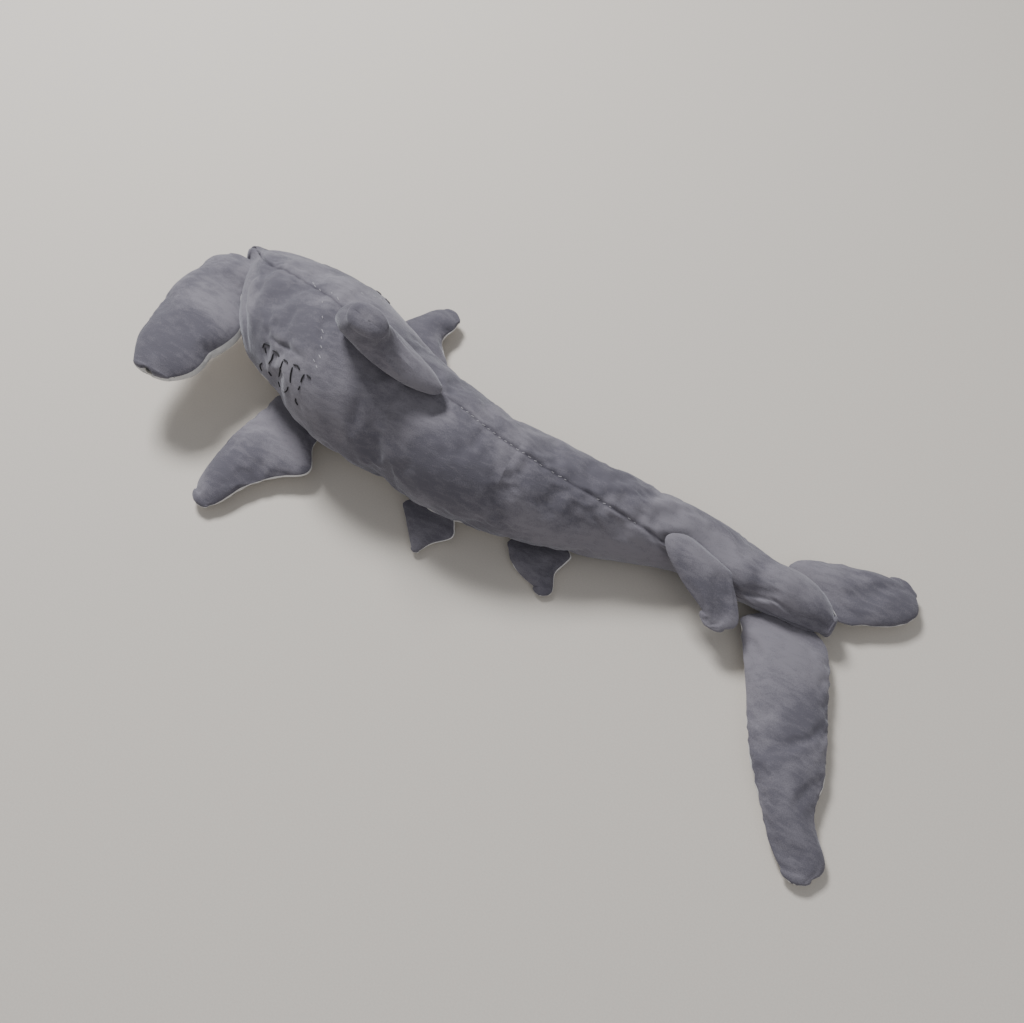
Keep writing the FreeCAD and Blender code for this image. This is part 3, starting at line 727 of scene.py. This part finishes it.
def build_body():
    """Nine skins of the body: three lengths with two back panels and a belly panel each."""
    grid = SETTLED["body"]
    grid = finer(grid, 0, False)
    for _ in range(2):
        grid = finer(grid, 1, True)
    rest = grid.copy()
    rows, sides = grid.shape[:2]
    normal = grid_normals(grid)
    size = np.linalg.norm(grid - grid.mean(1, keepdims=True), axis=2)
    dent = 1.0 * MM * lumps(rest, 34 * MM, 3.7) + 0.3 * MM * lumps(rest, 10 * MM, 8.1)
    for route, rise, wide in FOLDS:
        dent = dent + folded(rest, route, rise, wide)
    angle = 360 * np.arange(sides) / sides
    # Painted shade along the back and belly seams goes into seams, beside the real groove that is cut into
    # the surface.
    seams = np.zeros((rows, sides))
    for place in (0, BELLY_EDGE, 360 - BELLY_EDGE):
        away = np.abs((angle - place + 180) % 360 - 180)[None, :] / 57.3 * size
        seams = np.maximum(seams, np.exp(-(away / SEAM_PAINTED_SHADE) ** 2))
        dent = dent - SEAM_DEEP * np.exp(-(away / SEAM_WIDE) ** 2)
    grid = settle_on_floor(grid + normal * dent[..., None])
    middle = grid.mean(1, keepdims=True)
    inner = inside_of(grid, middle, FABRIC)
    edge = round(BELLY_EDGE / 360 * sides)
    around = {"back_left": np.arange(0, edge + 1), "back_right": np.arange(-edge, 1),
              "belly": np.arange(edge, sides - edge + 1)}
    xs = grid[:, 0, 0]
    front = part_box("front_belly_panel")
    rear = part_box("rear_belly_panel")
    cuts = [0, int(np.abs(xs - (front[0].x + front[1].x) / 2).argmin()),
            int(np.abs(xs - (rear[0].x + rear[1].x) / 2).argmin()), rows - 1]
    for (length, joint), low, high in zip(LENGTHS.items(), cuts, cuts[1:]):
        for panel, columns in around.items():
            part = np.ix_(np.arange(low, high + 1), columns % sides)
            material = WHITE if panel == "belly" else GREY
            skin = shell(f"{length}_{panel}_skin", grid[part], inner[part], rest[part], seams[part], material)
            bend_with(skin)
            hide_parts(*STANDS_FOR[skin.name])
    return grid


def drawn_in(grid, outwards, eye):
    """The lobe's end pulled in round its eye, so that the button stands proud of the pile."""
    way = np.array(Vector(outwards).normalized())
    mesh = NODES[eye].data
    place = np.empty(len(mesh.vertices) * 3)
    mesh.vertices.foreach_get("co", place)
    place = place.reshape(-1, 3)
    crest = place[(place @ way).argmax()]
    away = grid - crest
    above = away @ way
    beside = np.linalg.norm(away - above[..., None] * way, axis=-1)
    share = np.clip((beside - EYE_SEAT[0]) / (EYE_SEAT[1] - EYE_SEAT[0]), 0, 1)
    limit = -EYE_PROUD + share * share * (3 - 2 * share) * EYE_DIMPLE
    return grid + np.minimum(limit - above, 0)[..., None] * way


def build_pocket(name, facts):
    """Two skins sewn round the edge."""
    grid = SETTLED[name]
    grid = finer(finer(grid, 0, False), 1, True)
    rest = grid.copy()
    rows, sides = grid.shape[:2]
    normal = grid_normals(grid)
    dent = 0.5 * MM * lumps(rest, 18 * MM, 5.3) + 0.2 * MM * lumps(rest, 6 * MM, 1.9)
    grid = grid + normal * dent[..., None]
    grid[..., 2] = np.maximum(grid[..., 2], FLOOR_REST)
    if "eye" in facts:
        grid = drawn_in(grid, facts["span"], facts["eye"])
    mirror = (-np.arange(sides)) % sides
    middle = (grid + grid[:, mirror]) / 2
    inner = inside_of(grid, middle, 0.7 * FABRIC)
    half = sides // 2
    peek = facts["peek"]
    seams = np.zeros((rows, sides))
    axes = pocket_axes(facts["chord"], facts["span"])
    upper = axes[1][2] > 0
    joint = JOINTS[facts["joint"]]
    axis = Vector(joint["axis"]).normalized()
    out = Vector(facts["span"])
    out = out - out.dot(axis) * axis
    if out.length < 0.1:
        out = Vector(facts["chord"])
    out.normalize()
    spans = {True: np.arange(peek, half + 1), False: np.arange(half, sides + peek + 1)}
    if not upper:
        spans = {True: np.arange(half, sides - peek + 1), False: np.arange(-peek, half + 1)}
    for face, top in zip(facts["faces"], (True, False)):
        columns = spans[top] % sides
        part = np.ix_(np.arange(rows), columns)
        white = face == "under"
        material = WHITE if white else GREY
        skin = shell(f"{name}_{face}_skin", grid[part], inner[part], rest[part], seams[part], material)
        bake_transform(skin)
        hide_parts(f"{name}_{face}")
        if top and f"{name}_stuffing" in NODES:
            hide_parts(f"{name}_stuffing")


BODY_SKIN = build_body()
BODY_NORMALS = grid_normals(BODY_SKIN)
for pocket_name, pocket_facts in POCKETS.items():
    build_pocket(pocket_name, pocket_facts)


# ---------------------------------------------------------------- threads

def thread_run(points, normals, radius):
    """Points and faces of one thread that lies half sunk in the pile, thinner at its two ends."""
    points, normals = np.array(points), np.array(normals)
    along = np.gradient(points, axis=0)
    along /= np.linalg.norm(along, axis=1, keepdims=True)
    across = np.cross(normals, along)
    across /= np.linalg.norm(across, axis=1, keepdims=True)
    rise = np.cross(along, across)
    turn = 2 * math.pi * np.arange(THREAD_SIDES) / THREAD_SIDES
    size = radius * np.interp(np.linspace(0, 1, len(points)), (0, 0.12, 0.88, 1), (0.45, 1, 1, 0.45))
    rings = (points[:, None] + size[:, None, None] * (np.cos(turn)[None, :, None] * across[:, None]
                                                      + np.sin(turn)[None, :, None] * rise[:, None]))
    faces = ring_faces(len(points), THREAD_SIDES)
    faces.append(tuple(range(THREAD_SIDES))[::-1])
    last = (len(points) - 1) * THREAD_SIDES
    faces.append(tuple(last + k for k in range(THREAD_SIDES)))
    return rings.reshape(-1, 3), faces


def threads(name, runs, radius, material):
    """One piece of many threads; a run is a list of places along the body, in mm, and angles."""
    points, faces = [], []
    for run in runs:
        places, angles = np.array(run, float).T
        steps = np.linspace(0, 1, max(5, 4 * len(run)))
        knots = np.linspace(0, 1, len(run))
        fine = list(zip(np.interp(steps, knots, places) * MM, np.interp(steps, knots, angles)))
        normals = [skin_value(BODY_NORMALS, x, a) for x, a in fine]
        lifted = [skin_value(BODY_SKIN, x, a) + 0.5 * radius * n for (x, a), n in zip(fine, normals)]
        made, made_faces = thread_run(lifted, normals, radius)
        base = sum(len(p) for p in points)
        points.append(made)
        faces += [tuple(base + k for k in face) for face in made_faces]
    mesh = bpy.data.meshes.new(name)
    mesh.from_pydata(np.concatenate(points).tolist(), [], faces)
    mesh.polygons.foreach_set("use_smooth", np.ones(len(mesh.polygons), bool))
    mesh.materials.append(material)
    piece = bpy.data.objects.new(name, mesh)
    bpy.context.scene.collection.objects.link(piece)
    return piece


def gill_runs(side):
    """Dashes of the gill lines; side is 1 on the left and -1 on the right."""
    runs = []
    for (x, angle), dashes in GILLS:
        for dash in dashes:
            runs.append([(x + dx, side * (angle + da)) for dx, da in zip(dash[::2], dash[1::2])])
    return runs


def seam_row(first, last, angle=0.0):
    """Short stitches along the back seam, a few of them sunk out of sight in the pile."""
    runs = []
    for number, x in enumerate(np.arange(first, last, STITCH_PITCH)):
        wander = noise.noise(Vector((x / 9, angle, 2.4)))
        if wander > -0.02:
            long = 1.6 + 1.4 * abs(noise.noise(Vector((x / 3, 7.1, angle))))
            runs.append([(x, angle + 1.2 * wander), (x + long, angle - 0.8 * wander)])
    return runs


def build_threads():
    """Embroidery and stitches in place of the CAD threads, and a dark thread as painted shade in the stalk's
    tuck; a few of them are attached to a body.
    """
    for side, sign in (("left", 1), ("right", -1)):
        gills = threads(f"gill_dashes_{side}", gill_runs(sign), THREAD, DARK_THREAD)
        bend_with(gills)
        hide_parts(f"gill_stitches_{side}")
    neck = [[(x, angle), (x + long, angle + 1)] for x, angle, long in NECK_STITCHES]
    neck += [[(x, -angle), (x + long, -angle - 1)] for x, angle, long in NECK_STITCHES if angle > 8]
    neck_threads = threads("neck_stitches", neck, SEWING, PALE_THREAD)
    bend_with(neck_threads)
    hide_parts("neck_seam_stitches", "back_seam_stitches_front")
    rear = threads("back_stitches_rear", seam_row(*SEAM_ROWS["rear"]), SEWING, PALE_THREAD)
    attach(rear, "rear_body")
    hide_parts("back_seam_stitches_rear")
    tail = threads("back_stitches_tail", seam_row(*SEAM_ROWS["tail"]), SEWING, PALE_THREAD)
    bend_with(tail)
    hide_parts("back_seam_stitches_tail")
    closing = seam_row(-34, 56, BELLY_EDGE)
    closing_threads = threads("closing_stitches", closing, SEWING, PALE_THREAD)
    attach(closing_threads, "rear_body")
    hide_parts("closing_seam_stitches")
    arch = [(-226 - 9 * math.sin(math.pi * k / 8), 145 + 8.75 * k) for k in range(9)]
    mouth = threads("mouth_line", [arch], THREAD, DARK_THREAD)
    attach(mouth, "head")
    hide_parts("mouth_stitches")
    # A short dark thread laid in the stalk's tuck is painted shade in that crease, not a stitch.
    tuck = threads("stalk_tuck_shade_thread", [[(160, -36), (164.5, -39)]], THREAD, DARK_THREAD)
    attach(tuck, "tail")


build_threads()

for node_name, node in NODES.items():
    if node_name.startswith("eye_"):
        node.data.materials.clear()
        node.data.materials.append(WASHER if "washer" in node_name else EYE)


# ---------------------------------------------------------------- stage

# Lights: name, place, size of the panel and power. They point at the origin.
LIGHTS = (("key", (-1.05, 0.75, 1.55), 0.55, 52), ("fill", (1.3, -1.2, 1.6), 1.8, 9))
WORLD_COLOUR = (0.97, 0.98, 1, 1)
WORLD_STRENGTH = 0.36
FLOOR_REACH = 6
CAMERA_PLACE = (0.2201, -0.3565, 0.640)
CAMERA_TURN = 30              # degrees round from looking along +Y
CAMERA_DOWN = 57              # degrees below the horizon
CAMERA_LENS = 37.3


def build_stage():
    """Pale floor, two soft lights and the camera at the photograph's angle."""
    mesh = bpy.data.meshes.new("floor")
    reach = FLOOR_REACH
    corners = [(-reach, -reach, 0), (reach, -reach, 0), (reach, reach, 0), (-reach, reach, 0)]
    mesh.from_pydata(corners, [], [(0, 1, 2, 3)])
    floor = bpy.data.objects.new("floor", mesh)
    mesh.materials.append(plain("floor_paint", (0.62, 0.58, 0.53), 0.9))
    bpy.context.scene.collection.objects.link(floor)
    for name, place, size, power in LIGHTS:
        light = bpy.data.lights.new(name, "AREA")
        light.size = size
        light.energy = power
        lamp = bpy.data.objects.new(name, light)
        lamp.location = place
        lamp.rotation_mode = "QUATERNION"
        lamp.rotation_quaternion = (-Vector(place)).to_track_quat("-Z", "Y")
        bpy.context.scene.collection.objects.link(lamp)
    world = bpy.data.worlds.new("studio")
    world.use_nodes = True
    world.node_tree.nodes["Background"].inputs["Color"].default_value = WORLD_COLOUR
    world.node_tree.nodes["Background"].inputs["Strength"].default_value = WORLD_STRENGTH
    bpy.context.scene.world = world
    lens = bpy.data.cameras.new("camera")
    lens.lens = CAMERA_LENS
    camera = bpy.data.objects.new("camera", lens)
    camera.location = CAMERA_PLACE
    azimuth, down = math.radians(CAMERA_TURN), math.radians(CAMERA_DOWN)
    sight = Vector((-math.sin(azimuth) * math.cos(down), math.cos(azimuth) * math.cos(down), -math.sin(down)))
    camera.rotation_mode = "QUATERNION"
    camera.rotation_quaternion = sight.to_track_quat("-Z", "Y")
    bpy.context.scene.collection.objects.link(camera)
    bpy.context.scene.camera = camera


build_stage()
